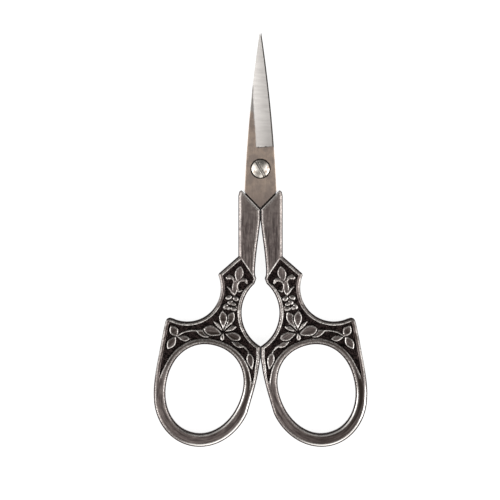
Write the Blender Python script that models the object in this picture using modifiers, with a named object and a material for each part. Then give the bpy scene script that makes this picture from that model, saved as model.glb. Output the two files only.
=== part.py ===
# Embroidery scissors: two ground blades with tangs, two cast handles with finger bows,
# and the slotted screw that joins them.
#
# Frame: the scissors lie flat and closed, tips towards +Y, +Z up. The origin is the middle
# of the bounding box's bottom face. The two halves are the same shape: one half turned by
# 180 degrees about the long axis is the other.

import math

import bmesh
import bpy
from mathutils import Matrix, Vector

# Every size below is in millimetres, and every place is measured from the pivot's axis,
# x to the right and y towards the tips, in the plane of the scissors.
MM = 0.001

# Overall
TIP_REACH = 37.1
BOW_REACH = 75.9

# Blades
BLADE_THICKNESS = 1.2
BLADE_GAP = 0.2
BLADE_ROOT_HALF_WIDTH = 4.05
BLADE_TIP_HALF_WIDTH = 0.25
BLADE_BELLY = 0.42
EDGE_SETBACK = 0.38
EDGE_THICKNESS = 0.2
GRIND_START = 5.8
GRIND_SLANT = 0.4
GRIND_LINE_START = -1.25
GRIND_LINE_LEAN = 0.062
RICASSO_REACH = 6.3
V_DEPTH = 10.8

# Tangs
TANG_THICKNESS = 0.8
TANG_ROOT_WIDTH = 2.6
TANG_END_WIDTH = 1.8
TANG_SHORT_OF_FOOT = 2.4
TANG_ROOT_X = 2.8
TANG_END_X = 3.6
TANG_CLEARANCE = 0.3

# Screw
SCREW_HEAD_DIAMETER = 5.0
SCREW_HEAD_HEIGHT = 0.9
SCREW_HEAD_EDGE = 0.25
SCREW_NECK_DIAMETER = 3.0
SCREW_END_RECESS = 0.1
SCREW_SEAT_CLEARANCE = 0.1
SLOT_WIDTH = 0.8
SLOT_DEPTH = 0.45
SLOT_ANGLE = 118.0
RUNNING_CLEARANCE = 0.05
COUNTERBORE_DEPTH = 0.5
COUNTERBORE_CLEARANCE = 0.18
ROUND_STEPS = 64

# Handles
HANDLE_THICKNESS = 3.6
HANDLE_GAP = 0.3
JOINT_GAP = 0.3
HANDLE_EDGE = 0.45
SHANK_OUTSIDE = 6.05
SHANK_TIP_RADIUS = 0.9
SHANKS_PART_AT = 14.2
# How far the shank's inner edge is from the middle, at shares of its length
SHANK_INNER_X = (0.47, 1.0, 1.4, 1.5)
SHANK_INNER_SHARES = (0.24, 0.49, 0.75, 0.92)

# From the shank's foot down, heights are measured from the bow's lowest point.
SHANK_FOOT = 52.0
LOZENGE_OUTER_POINT = (11.35, 47.35)
LOZENGE_INNER_POINT = (1.15, 45.9)
THROAT_CENTRE = (-5.58, 36.55)
THROAT_RADIUS = 10.75
THROAT_TOP_ANGLE = 47.5
BAY_CENTRE = (20.04, 43.37)
BAY_RADIUS = 9.2
BAY_START_ANGLE = 158.0
BAY_END_ANGLE = 294.0
HORN = ((24.8, 35.22), (25.55, 34.9), (26.0, 33.9))
BOW_OUTSIDE = ((26.75, 30.4), (27.6, 25.9), (28.45, 21.4), (29.0, 17.4), (29.2, 13.9))
KNUCKLE_FOOT = 24.1
BOW_INSIDE = ((2.85, 11.7), (1.65, 15.9), (0.75, 19.7), (0.3, 22.3))
BOW_X = 15.6
BOW_HALF_WIDTH = 13.35
BOW_HALF_HEIGHT = 15.25
BOW_TILT = 17.3
BOW_START_ANGLE = -26.0
BOW_END_ANGLE = -174.0
HOLE_CENTRE = (15.53, 15.76)
HOLE_HALF_WIDTH = 10.37
HOLE_HALF_HEIGHT = 12.26
HOLE_TILT = 18.0
HOLE_EGG = 0.06
HOLE_SQUARENESS = 2.11

# Ornament panels, sunk into both faces of each handle
PANEL_DEPTH = 0.75
PANEL_RIM = 1.1
PANEL_TOP_LINE = ((5.4, 51.3), (1.9, 46.2))
BORDER_CENTRE = (15.35, 15.8)
BORDER_HALF_WIDTH = 12.25
BORDER_HALF_HEIGHT = 13.75
PANEL_TIPS = ((27.55, 19.0), (2.85, 16.0))

# Derived places
PIVOT_Y = (BOW_REACH - TIP_REACH) / 2
HALF_THICKNESS = HANDLE_THICKNESS / 2
BLADE_LOW = BLADE_GAP / 2
BLADE_HIGH = BLADE_LOW + BLADE_THICKNESS
TANG_LOW = BLADE_LOW + (BLADE_THICKNESS - TANG_THICKNESS) / 2
# How far a cutter runs past the surface that it opens
THROUGH = 1.0


def clear_scene():
    for item in list(bpy.data.objects):
        bpy.data.objects.remove(item, do_unlink=True)


def collection(name):
    group = bpy.data.collections.new(name)
    bpy.context.scene.collection.children.link(group)
    return group


def material(name, colour, roughness, metallic=1.0):
    made = bpy.data.materials.new(name)
    made.use_nodes = True
    shader = made.node_tree.nodes["Principled BSDF"]
    shader.inputs["Base Color"].default_value = (*colour, 1.0)
    shader.inputs["Roughness"].default_value = roughness
    shader.inputs["Metallic"].default_value = metallic
    return made


# Plane curves


def arc(centre, radius, start, end, count):
    """Points on a circle, from one angle in degrees to another."""
    points = []
    for step in range(count + 1):
        angle = math.radians(start + (end - start) * step / count)
        points.append((centre[0] + radius * math.cos(angle), centre[1] + radius * math.sin(angle)))
    return points


def oval(centre, half_width, half_height, tilt, start, end, count, egg=0.0, squareness=2.0):
    """Points on an oval that leans by tilt; egg widens its upper end."""
    points = []
    cos_tilt = math.cos(math.radians(tilt))
    sin_tilt = math.sin(math.radians(tilt))
    for step in range(count):
        angle = math.radians(start + (end - start) * step / count)
        ahead = math.sin(angle)
        aside = math.cos(angle)
        v = half_height * math.copysign(abs(ahead) ** (2 / squareness), ahead)
        u = half_width * math.copysign(abs(aside) ** (2 / squareness), aside)
        u *= 1 + egg * v / half_height
        points.append((centre[0] + u * cos_tilt - v * sin_tilt,
                       centre[1] + u * sin_tilt + v * cos_tilt))
    return points


def through(points, per_span=4):
    """A smooth curve through the points, from the first to the last."""
    knots = [Vector(point) for point in points]
    knots = [2 * knots[0] - knots[1]] + knots + [2 * knots[-1] - knots[-2]]
    curve = []
    for before, start, end, after in zip(knots, knots[1:], knots[2:], knots[3:]):
        span = (end - start).length
        leave = (end - before) * span / ((start - before).length + span)
        arrive = (after - start) * span / ((after - end).length + span)
        for step in range(per_span):
            t = step / per_span
            bend = start * (2 * t ** 3 - 3 * t ** 2 + 1) + end * (3 * t ** 2 - 2 * t ** 3)
            bend += leave * (t ** 3 - 2 * t ** 2 + t) + arrive * (t ** 3 - t ** 2)
            curve.append((bend.x, bend.y))
    curve.append((knots[-2].x, knots[-2].y))
    return curve


def distance_to_loop(point, loop):
    best = 1e9
    for start, end in zip(loop, loop[1:] + loop[:1]):
        start = Vector(start)
        along = Vector(end) - start
        t = max(0.0, min(1.0, (point - start).dot(along) / max(along.length_squared, 1e-12)))
        best = min(best, (point - start - along * t).length)
    return best


def inset(loop, distance):
    """The loop moved inwards by a distance. Corners too tight to follow are left out."""
    longest_mitre = 2.5
    least_clear = 0.94 * distance
    least_step = 0.25 * distance
    moved = []
    turning = sum(a[0] * b[1] - b[0] * a[1] for a, b in zip(loop, loop[1:] + loop[:1]))
    side = math.copysign(distance, turning)
    count = len(loop)
    for index in range(count):
        here = Vector(loop[index])
        arriving = (here - Vector(loop[index - 1])).normalized()
        leaving = (Vector(loop[(index + 1) % count]) - here).normalized()
        normal = Vector((-arriving.y - leaving.y, arriving.x + leaving.x)).normalized()
        mitre = min(longest_mitre, 1 / normal.dot(Vector((-leaving.y, leaving.x))))
        candidate = here + normal * side * mitre
        clear = distance_to_loop(candidate, loop) > least_clear
        apart = not moved or (candidate - Vector(moved[-1])).length > least_step
        if clear and apart:
            moved.append((candidate.x, candidate.y))
    return moved


# Outlines of the half whose handle is on the right


def above_foot(*points):
    """Points given above the bow's lowest point, as points from the pivot."""
    return [(x, height - BOW_REACH) for x, height in points]


def blade_half_width(y):
    t = y / TIP_REACH
    straight = BLADE_ROOT_HALF_WIDTH + (BLADE_TIP_HALF_WIDTH - BLADE_ROOT_HALF_WIDTH) * t
    return straight + BLADE_BELLY * 4 * t * (1 - t)


def ricasso_corner():
    return Vector((blade_half_width(-RICASSO_REACH), -RICASSO_REACH))


def blade_outline(stations=14):
    """Back on the left, cutting edge on the right, and the V that the shanks close on."""
    back = []
    edge = []
    side = []
    for step in range(stations + 1):
        y = -RICASSO_REACH + (TIP_REACH + RICASSO_REACH) * step / stations
        back.append((-blade_half_width(y), y))
        if y > GRIND_START + 2 * EDGE_SETBACK:
            edge.append((blade_half_width(y) - EDGE_SETBACK, y))
        elif y < GRIND_START - EDGE_SETBACK:
            side.append((blade_half_width(y), y))
    shoulder = blade_half_width(GRIND_START)
    side.append((shoulder, GRIND_START))
    edge.insert(0, (shoulder - EDGE_SETBACK, GRIND_START + EDGE_SETBACK))
    return back + edge[::-1] + side[::-1] + [(0.0, -V_DEPTH)]


def shank_face(x):
    """Height of the shank's slanting top face, a joint gap below the ricasso's."""
    corner = ricasso_corner()
    run = Vector((corner.x, V_DEPTH - RICASSO_REACH))
    drop = JOINT_GAP * run.length / run.x
    return -V_DEPTH - drop + x * run.y / run.x


def tang_outline(grow=0.0):
    """From inside the ricasso down the middle of the right shank."""
    half_root = TANG_ROOT_WIDTH / 2 + grow
    half_end = TANG_END_WIDTH / 2 + grow
    start = TANG_CLEARANCE * 3 - RICASSO_REACH + grow
    mouth = shank_face(TANG_ROOT_X)
    end = SHANK_FOOT - BOW_REACH + TANG_SHORT_OF_FOOT - grow
    outside = TANG_ROOT_X + half_root
    inside = TANG_ROOT_X - half_root
    right = [(TANG_END_X + half_end, end), (outside, mouth), (outside, start)]
    left = [(inside, start), (inside, mouth), (TANG_END_X - half_end, end)]
    return right + left


def handle_outline():
    """Shank, lozenge, bay, horn, bow, knuckle and throat, once round the right handle."""
    inside = HANDLE_GAP / 2
    tip = Vector((SHANK_OUTSIDE - SHANK_TIP_RADIUS, shank_face(SHANK_OUTSIDE - SHANK_TIP_RADIUS)))
    rounding = tip + Vector((0.62, -0.33)) * SHANK_TIP_RADIUS
    shoulder = through([tip, rounding, (SHANK_OUTSIDE, tip.y - SHANK_TIP_RADIUS * 1.7)])
    foot = (SHANK_OUTSIDE, SHANK_FOOT - BOW_REACH)
    lozenge_out, lozenge_in = above_foot(LOZENGE_OUTER_POINT, LOZENGE_INNER_POINT)
    bay_centre, throat_centre = above_foot(BAY_CENTRE, THROAT_CENTRE)
    bay = arc(bay_centre, BAY_RADIUS, BAY_START_ANGLE, BAY_END_ANGLE, 22)
    outside = through([bay[-1], *above_foot(*HORN, *BOW_OUTSIDE)], 3)
    bow_lean = math.radians(BOW_TILT)
    bow_fall = math.hypot(BOW_HALF_WIDTH * math.sin(bow_lean), BOW_HALF_HEIGHT * math.cos(bow_lean))
    bow = oval((BOW_X, bow_fall - BOW_REACH), BOW_HALF_WIDTH, BOW_HALF_HEIGHT, BOW_TILT,
               BOW_START_ANGLE, BOW_END_ANGLE, 26)
    inner = through(above_foot(*BOW_INSIDE, (inside, KNUCKLE_FOOT)), 3)
    throat_start = -math.degrees(math.acos((inside - throat_centre[0]) / THROAT_RADIUS))
    throat = arc(throat_centre, THROAT_RADIUS, throat_start, THROAT_TOP_ANGLE, 18)
    run = lozenge_in[1] + SHANKS_PART_AT
    inner_edge = [(x, share * run - SHANKS_PART_AT) for x, share in zip(SHANK_INNER_X, SHANK_INNER_SHARES)]
    shank = through([lozenge_in, *reversed(inner_edge), (inside, -SHANKS_PART_AT)], 3)
    return (shoulder + [foot, lozenge_out] + bay[:-1] + outside[:-1] + bow + inner + throat + shank
            + [(inside, shank_face(inside))])


def finger_hole():
    centre = above_foot(HOLE_CENTRE)[0]
    return oval(centre, HOLE_HALF_WIDTH, HOLE_HALF_HEIGHT, HOLE_TILT, 0, 360, 60,
                HOLE_EGG, HOLE_SQUARENESS)


def on_left(point, line):
    """How far the point lies on the left of a line."""
    along = (Vector(line[1]) - Vector(line[0])).normalized()
    away = Vector(point) - Vector(line[0])
    return along.x * away.y - along.y * away.x


def beyond_border(point):
    """Whether the point is outside the oval border round the bow's top."""
    lean = math.radians(HOLE_TILT)
    centre = above_foot(BORDER_CENTRE)[0]
    across = point[0] - centre[0]
    ahead = point[1] - centre[1]
    u = across * math.cos(lean) + ahead * math.sin(lean)
    v = (ahead * math.cos(lean) - across * math.sin(lean)) / BORDER_HALF_HEIGHT
    u /= BORDER_HALF_WIDTH * (1 + HOLE_EGG * v)
    return abs(u) ** HOLE_SQUARENESS + abs(v) ** HOLE_SQUARENESS > 1


def panel_outline():
    """The sunk panel: the handle inside its rim, below the shank and round the bow's border."""
    rim = []
    top_line = above_foot(*PANEL_TOP_LINE)
    tips = above_foot(*PANEL_TIPS)
    for point in inset(handle_outline(), PANEL_RIM):
        below_shank = on_left(point, top_line) > PANEL_RIM / 2
        above_tips = on_left(point, tips) < 0
        if below_shank and above_tips and beyond_border(point):
            rim.append(point)
    # The rim's two runs, outside and inside, are parted by the bow.
    split = max(range(1, len(rim)), key=lambda index: math.dist(rim[index - 1], rim[index]))
    centre = above_foot(BORDER_CENTRE)[0]
    border = oval(centre, BORDER_HALF_WIDTH, BORDER_HALF_HEIGHT, HOLE_TILT, -90, 270, 64,
                  HOLE_EGG, HOLE_SQUARENESS)
    arch = [point for point in border if on_left(point, tips) < -PANEL_RIM / 2]
    outer = [top_line[0], *rim[:split], tips[0]]
    inner = [tips[1], *rim[split:], top_line[1]]
    return outer + arch + inner


# Solids


def link(name, mesh, group, finish=None):
    made = bpy.data.objects.new(name, mesh)
    group.objects.link(made)
    if finish:
        mesh.materials.append(finish)
    return made


def cutter(obj):
    obj.hide_render = True
    obj.display_type = "WIRE"
    return obj


def flat_solid(name, loops, low, high, group, edge=0.0, edge_steps=0):
    """An outline and its holes, filled from one height to another, with rounded rims."""
    curve = bpy.data.curves.new(name, "CURVE")
    curve.dimensions = "2D"
    curve.fill_mode = "BOTH"
    curve.extrude = ((high - low) / 2 - edge) * MM
    curve.bevel_depth = edge * MM
    curve.bevel_resolution = edge_steps
    curve.offset = -edge * MM
    for loop in loops:
        spline = curve.splines.new("POLY")
        spline.points.add(len(loop) - 1)
        for point, (x, y) in zip(spline.points, loop):
            point.co = (x * MM, y * MM, 0, 1)
        spline.use_cyclic_u = True
    drawn = link(name + "_outline", curve, group)
    depsgraph = bpy.context.evaluated_depsgraph_get()
    mesh = bpy.data.meshes.new_from_object(drawn.evaluated_get(depsgraph))
    mesh.transform(drawn.matrix_world)
    bpy.data.objects.remove(drawn)
    mesh.transform(Matrix.Translation((0, 0, (high + low) / 2 * MM)))
    build = bmesh.new()
    build.from_mesh(mesh)
    bmesh.ops.remove_doubles(build, verts=build.verts, dist=1e-6)
    bmesh.ops.recalc_face_normals(build, faces=build.faces)
    build.to_mesh(mesh)
    build.free()
    mesh.name = name
    return link(name, mesh, group)


def round_solid(name, radius, low, high, group):
    mesh = bpy.data.meshes.new(name)
    build = bmesh.new()
    bmesh.ops.create_cone(build, cap_ends=True, segments=ROUND_STEPS, radius1=radius * MM,
                          radius2=radius * MM, depth=(high - low) * MM)
    bmesh.ops.translate(build, verts=build.verts, vec=(0, 0, (high + low) / 2 * MM))
    build.to_mesh(mesh)
    build.free()
    return link(name, mesh, group)


def boolean(obj, operation, tool):
    step = obj.modifiers.new(tool.name, "BOOLEAN")
    step.operation = operation
    step.solver = "EXACT"
    step.object = tool


def apply_shape(obj):
    """The object's modifiers, taken into its mesh."""
    depsgraph = bpy.context.evaluated_depsgraph_get()
    mesh = bpy.data.meshes.new_from_object(obj.evaluated_get(depsgraph))
    obj.modifiers.clear()
    old = obj.data
    obj.data = mesh
    bpy.data.meshes.remove(old)


def shade(obj, angle):
    obj.data.shade_smooth()
    obj.data.set_sharp_from_angle(angle=math.radians(angle))


def edge_grind(group):
    """What the grinding takes off the front of a blade, from its step to past its tip."""
    stations = 12
    build = bmesh.new()
    rings = []
    for step in range(stations + 1):
        y = GRIND_START + (TIP_REACH + THROUGH - GRIND_START) * step / stations
        edge_x = blade_half_width(min(y, TIP_REACH)) - EDGE_SETBACK
        line_x = GRIND_LINE_START - GRIND_LINE_LEAN * (y - GRIND_START)
        fall = (BLADE_THICKNESS - EDGE_THICKNESS) / (edge_x - line_x)
        out_x = edge_x + THROUGH
        out_z = BLADE_HIGH - fall * (out_x - line_x)
        slant = GRIND_SLANT / 2 if step == 0 else 0.0
        corners = [(line_x, y - slant, BLADE_HIGH), (out_x, y + slant, out_z),
                   (out_x, y + slant, BLADE_HIGH + THROUGH), (line_x, y - slant, BLADE_HIGH + THROUGH)]
        rings.append([build.verts.new(Vector(corner) * MM) for corner in corners])
    for ring, following in zip(rings, rings[1:]):
        for side in range(4):
            after = (side + 1) % 4
            build.faces.new((ring[side], ring[after], following[after], following[side]))
    build.faces.new(rings[0])
    build.faces.new(rings[-1])
    bmesh.ops.recalc_face_normals(build, faces=build.faces)
    mesh = bpy.data.meshes.new("edge_grind")
    build.to_mesh(mesh)
    build.free()
    return cutter(link("edge_grind", mesh, group))


def make_blade(parts, cutters, steel):
    blade = flat_solid("front_blade", [blade_outline()], BLADE_LOW, BLADE_HIGH, parts)
    tang = cutter(flat_solid("tang", [tang_outline()], TANG_LOW, TANG_LOW + TANG_THICKNESS, cutters))
    bore_radius = SCREW_NECK_DIAMETER / 2 + RUNNING_CLEARANCE
    bore_high = BLADE_HIGH + THROUGH
    bore = cutter(round_solid("screw_bore", bore_radius, BLADE_LOW - THROUGH, bore_high, cutters))
    boolean(blade, "UNION", tang)
    boolean(blade, "DIFFERENCE", edge_grind(cutters))
    boolean(blade, "DIFFERENCE", bore)
    apply_shape(blade)
    blade.data.materials.clear()
    blade.data.materials.append(steel)
    return blade


def counterbore(blade, cutters):
    radius = SCREW_HEAD_DIAMETER / 2 + COUNTERBORE_CLEARANCE
    floor = BLADE_HIGH - COUNTERBORE_DEPTH
    seat = round_solid("screw_counterbore", radius, floor, BLADE_HIGH + THROUGH, cutters)
    boolean(blade, "DIFFERENCE", cutter(seat))


def make_screw(parts, cutters, steel):
    """A cheese head, turned from a profile, with a slot across it."""
    head_low = BLADE_HIGH - COUNTERBORE_DEPTH + SCREW_SEAT_CLEARANCE
    head_high = head_low + SCREW_HEAD_HEIGHT
    head = SCREW_HEAD_DIAMETER / 2
    neck = SCREW_NECK_DIAMETER / 2
    end = -BLADE_HIGH + SCREW_END_RECESS
    profile = [(0, head_high), (head - SCREW_HEAD_EDGE, head_high), (head, head_high - SCREW_HEAD_EDGE),
               (head, head_low), (neck, head_low), (neck, end), (0, end)]
    mesh = bpy.data.meshes.new("pivot_screw")
    corners = [Vector((x, 0, z)) * MM for x, z in profile]
    mesh.from_pydata(corners, [(step, step + 1) for step in range(len(corners) - 1)], [])
    screw = link("pivot_screw", mesh, parts)
    turn = screw.modifiers.new("turned", "SCREW")
    turn.steps = ROUND_STEPS
    turn.render_steps = ROUND_STEPS
    turn.use_merge_vertices = True
    turn.merge_threshold = 1e-6
    half_slot = SLOT_WIDTH / 2
    slot_loop = [(-head - THROUGH, -half_slot), (head + THROUGH, -half_slot),
                 (head + THROUGH, half_slot), (-head - THROUGH, half_slot)]
    slot_floor = head_high - SLOT_DEPTH
    slot = flat_solid("screw_slot", [slot_loop], slot_floor, head_high + THROUGH, cutters)
    slot.data.transform(Matrix.Rotation(math.radians(SLOT_ANGLE), 4, "Z"))
    boolean(screw, "DIFFERENCE", cutter(slot))
    mesh.materials.append(steel)
    return screw


def panel_cutter(name, face, cutters):
    """What sinks the ornament panel into one face of the right handle."""
    low, high = sorted((face * (HALF_THICKNESS - PANEL_DEPTH), face * (HALF_THICKNESS + THROUGH)))
    return cutter(flat_solid(name, [panel_outline()], low, high, cutters))


def make_handle(parts, cutters, alloy):
    handle = flat_solid("right_handle", [handle_outline(), finger_hole()], -HALF_THICKNESS, HALF_THICKNESS,
                        parts, HANDLE_EDGE, 1)
    cavity = flat_solid("tang_cavity", [tang_outline(TANG_CLEARANCE)], TANG_LOW - TANG_CLEARANCE,
                        TANG_LOW + TANG_THICKNESS + TANG_CLEARANCE, cutters)
    boolean(handle, "DIFFERENCE", panel_cutter("front_panel", 1, cutters))
    boolean(handle, "DIFFERENCE", panel_cutter("back_panel", -1, cutters))
    boolean(handle, "DIFFERENCE", cutter(cavity))
    apply_shape(handle)
    handle.data.materials.clear()
    handle.data.materials.append(alloy)
    return handle


def other_half(obj, name, parts):
    """The same shape turned by half a turn about the long axis."""
    twin = link(name, obj.data, parts)
    twin.rotation_euler = (0, math.pi, 0)
    return twin


def main():
    clear_scene()
    parts = collection("embroidery_scissors")
    cutters = collection("cutters")
    steel = material("satin_steel", (0.55, 0.52, 0.49), 0.3)
    bright = material("bright_steel", (0.75, 0.73, 0.7), 0.2)
    alloy = material("antiqued_alloy", (0.2, 0.185, 0.175), 0.4)

    front_blade = make_blade(parts, cutters, steel)
    rear_blade = other_half(front_blade, "rear_blade", parts)
    right_handle = make_handle(parts, cutters, alloy)
    left_handle = other_half(right_handle, "left_handle", parts)
    counterbore(front_blade, cutters)
    screw = make_screw(parts, cutters, bright)

    pivot = bpy.data.objects.new("pivot", None)
    parts.objects.link(pivot)
    pivot.location = Vector((0, PIVOT_Y, HALF_THICKNESS)) * MM
    for piece in (front_blade, rear_blade, right_handle, left_handle, screw):
        shade(piece, 35)
        piece.parent = pivot
    for tool in cutters.objects:
        tool.parent = pivot


main()
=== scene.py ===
# Embroidery scissors: the finished surfaces of the two cast handles, the two ground blades
# and the slotted screw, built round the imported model.

import math

import bpy
import numpy as np
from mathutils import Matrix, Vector
from mathutils.geometry import delaunay_2d_cdt


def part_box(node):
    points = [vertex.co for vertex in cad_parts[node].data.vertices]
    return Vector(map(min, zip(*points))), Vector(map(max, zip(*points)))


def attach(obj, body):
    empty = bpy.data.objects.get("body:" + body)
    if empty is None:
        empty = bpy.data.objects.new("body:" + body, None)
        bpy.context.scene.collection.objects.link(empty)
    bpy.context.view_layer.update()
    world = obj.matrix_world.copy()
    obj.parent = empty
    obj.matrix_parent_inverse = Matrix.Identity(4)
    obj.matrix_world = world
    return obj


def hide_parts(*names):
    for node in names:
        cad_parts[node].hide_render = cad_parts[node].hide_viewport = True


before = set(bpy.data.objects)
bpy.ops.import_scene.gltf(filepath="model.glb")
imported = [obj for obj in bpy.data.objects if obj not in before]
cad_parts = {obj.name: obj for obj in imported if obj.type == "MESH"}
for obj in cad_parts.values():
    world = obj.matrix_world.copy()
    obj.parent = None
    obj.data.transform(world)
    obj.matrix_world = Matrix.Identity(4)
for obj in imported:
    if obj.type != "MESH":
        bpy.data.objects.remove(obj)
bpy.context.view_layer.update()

# Sizes are in millimetres and angles in degrees, unless a heading says otherwise. Places are
# measured from the pivot's axis and the scissors' middle plane, x to the right and y towards
# the tips.
MM = 0.001

# Blades
TIP_REACH = 37.1
BOW_REACH = 75.9
BLADE_LOW = 0.1
BLADE_HIGH = 1.3
BLADE_ROOT_HALF_WIDTH = 4.05
BLADE_TIP_HALF_WIDTH = 0.25
BLADE_BELLY = 0.42
EDGE_SETBACK = 0.38
EDGE_THICKNESS = 0.2
GRIND_START = 5.8
GRIND_SLANT = 0.4
GRIND_LINE_START = -1.25
GRIND_LINE_LEAN = 0.062
GRIND_HOLLOW = 0.05
GRIND_STEP_WIDTH = 0.16
RICASSO_REACH = 6.3
V_DEPTH = 10.8
BLADE_EASE = 0.12
BLADE_EASE_DROP = 0.05
TANG_LOW = 0.3
TANG_HIGH = 1.1
TANG_END = -21.5
TANG_ROOT_X = 4.2
TANG_END_X = (2.7, 4.5)
TANG_STEP = 0.05
# Painted shade in a strip beside each blade's back on its inner face, seen past the front blade's edge
SPINE_WIDTH = (0.35, 0.5)
SPINE_NARROWS_AT = 1.2
SPINE_LEAST = 0.1
# Painted shade along the V where the shanks close on the ricasso
V_SHADE = 0.12

# Screw
HEAD_RADIUS = 2.5
HEAD_LOW = 0.9
HEAD_HIGH = 1.8
HEAD_EDGE = 0.14
HEAD_EDGE_DROP = 0.1
HEAD_DOME = 0.5
NECK_RADIUS = 1.5
NECK_WALL = 0.04
NECK_END = -1.2
BORE_RADIUS = 1.55
COUNTERBORE_RADIUS = 2.68
COUNTERBORE_FLOOR = 0.8
SEAT_WALL = 0.05
# Painted shade in the counterbore round the screw's head
SEAT_SHADE = 0.08
SLOT_WIDTH = 0.8
SLOT_DEPTH = 0.45
SLOT_LAND = 0.06
SLOT_WALL = 0.07
SLOT_LIP = 0.08
SLOT_LIP_DROP = 0.03
SLOT_ANGLE = 118.0
# Painted shade along the slot's walls, less on its floor
SLOT_SHADE = 0.85
SLOT_SHADE_START = (-0.02, 0.05)
SLOT_FLOOR = (0.1, 0.28)
SLOT_FLOOR_LESS_SHADE = 0.75
# A painted dark reflection in two opposite wedges of the turned head
PAINTED_REFLECTION = 0.36
PAINTED_REFLECTION_ANGLE = 58.0
PAINTED_REFLECTION_SPREAD = (0.2, 1.0)
PAINTED_REFLECTION_START = (0.4, 1.2)

# Handles
HALF_THICKNESS = 1.8
HANDLE_GAP = 0.02
JOINT_GAP = 0.3
SHANK_OUTSIDE = 6.05
SHANK_TIP_RADIUS = 0.9
SHANK_TIP_BEND = (0.62, -0.33)
SHANK_TIP_FALL = 1.7
SHANKS_PART_AT = 14.2
SHANK_INNER_X = (0.47, 1.0, 1.4, 1.5)
SHANK_INNER_SHARES = (0.24, 0.49, 0.75, 0.92)
SHANK_FOOT = (6.05, -23.9)
LOZENGE_OUTER_POINT = (11.35, -28.55)
LOZENGE_INNER_POINT = (1.15, -30.0)
THROAT_CENTRE = (-5.58, -39.35)
THROAT_RADIUS = 10.75
THROAT_TOP_ANGLE = 47.5
BAY_CENTRE = (20.04, -32.53)
BAY_RADIUS = 9.2
BAY_START_ANGLE = 158.0
BAY_END_ANGLE = 294.0
HORN = ((24.8, -40.68), (25.55, -41.0), (26.0, -42.0))
BOW_OUTSIDE = ((26.75, -45.5), (27.6, -50.0), (28.45, -54.5), (29.0, -58.5), (29.2, -62.0))
KNUCKLE_BOTTOM = 51.8
BOW_INSIDE = ((2.85, -64.2), (1.65, -60.0), (0.75, -56.2), (0.3, -53.6))
BOW_X = 15.6
BOW_HALF_WIDTH = 13.35
BOW_HALF_HEIGHT = 15.25
BOW_TILT = 17.3
BOW_START_ANGLE = -26.0
BOW_END_ANGLE = -174.0
HOLE_CENTRE = (15.53, -60.14)
HOLE_HALF_WIDTH = 10.37
HOLE_HALF_HEIGHT = 12.26
HOLE_TILT = 18.0
HOLE_EGG = 0.06
HOLE_SQUARENESS = 2.11

# Edges, sunk panels and ornament of the handles
EDGE_WIDTH = 0.6
EDGE_DROP = 0.3
EDGE_POWER = 1.8
SHANK_EDGE_WIDTH = 0.8
SHANK_EDGE_FROM = (3.2, 4.2)
CROWN = 0.22
CROWN_WIDTH = 1.6
FACE_EDGE_SHARE = 0.3
RIM_ROUND = 0.16
RIM_ROUND_WIDTH = 0.5
PANEL_DEPTH = 0.75
PANEL_RIM = 1.1
PANEL_WALL = (-0.12, 0.26)
PANEL_TIPS = ((27.7, -57.2), (2.8, -60.3))
PANEL_TIP_LENGTH = 5.0
PANEL_TIP_SQUEEZE = 0.5
PAST_TIPS = 0.1
PAST_TIPS_SLOPE = 0.2
RIM_CORNER_CUT = 0.45
RIM_CORNER_REACH = (1.0, 4.5)
RIM_TIP_CUT = 0.3
RIM_TIP_HEIGHTS = (54.0, 57.5)
PANEL_TOP_LINE = ((5.4, -24.6), (1.9, -29.7))
PANEL_TOP_HEIGHTS = (-24.6, -23.6)
BORDER_CENTRE = (15.35, -60.1)
BORDER_HALF_WIDTH = 12.25
BORDER_HALF_HEIGHT = 13.75
RELIEF = 0.62
ROUND_RELIEF = 0.55
RELIEF_SHOULDER = 0.42
RELIEF_SPREAD = 0.06
RELIEF_DISH = 0.1
RELIEF_DISH_START = 0.7
RELIEF_DISH_WIDTH = 0.9
RELIEF_DISHED = (0.78, 1.0)
RELIEF_GROOVE = 0.16
ORNAMENT_DROP = 0.3
RIB_HEIGHT = 0.045
RIB_HALF_WIDTH = 0.16

# Painted shade along the handles' edges, and bright lines beside it, partly wear and partly
# painted highlight. The shade ends between two distances from the edge. A line starts, is full,
# fades and ends at four, and its glint is how bright it gets. The outer edge is away from the
# other handle.
EDGE_SHADE = (0.27, 0.46)
BOW_SHADE = (0.18, 0.34)
OUTER_SHADE = (0.02, 0.1)
FACE_SHADE = (0.06, 0.22)
EDGE_SHINE = (0.42, 0.56, 0.68, 0.9)
BOW_SHINE = (0.28, 0.4, 0.66, 0.9)
SIDE_DIMMING = 0.35
OUTER_SHINE_END = (0.3, 0.6)
OUTER_GLINT = 0.65
SHANK_SHINE = (0.15, 0.35, 0.65, 0.95)
SHANK_GLINT = 0.42
FACE_SHINE = (0.18, 0.28, 0.46, 0.62)
FACE_GLINT = 1.6
BORDER_SHINE = (0.02, 0.16, 0.24, 0.42)
BORDER_GLINT = 0.8
BORDER_HEIGHTS = (49.0, 53.0)
BOW_HEIGHTS = (54.0, 62.0)
FACING_UP = (0.4, 0.6)
FACING_OUT = (0.72, 0.95)
OUTER_RIM_END = 0.15
RIDGE_ROUNDS = 4
RIDGE_SMOOTHING = 0.7

# Polishing streaks: how much longer than wide they are, where they turn to go round the bow, and
# how far apart the two handles' patterns are taken
STREAK_STRETCH = 0.1
STREAK_TURN = (30.0, 44.0)
STREAK_SHIFT = 3.0

# The side of each bow that is lighter, with less tarnish, and the side where the painted
# highlight on its bright line is strongest
LIGHTER_SIDE_ANGLES = {"handle_right": 192.0, "handle_left": 240.0}
LIT_ANGLE = 318.0
LIT_SHARE = (0.25, 2.2)

# Mesh fineness. The clearances and the least step are shares of the pitch.
HANDLE_PITCH = 0.16
BLADE_PITCH = 0.24
SCREW_PITCH = 0.09
RIM_CLEARANCE = 0.45
SEAM_CLEARANCE = 0.25
LEAST_STEP = 0.3
SHARP_ANGLE = 50.0

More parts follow.
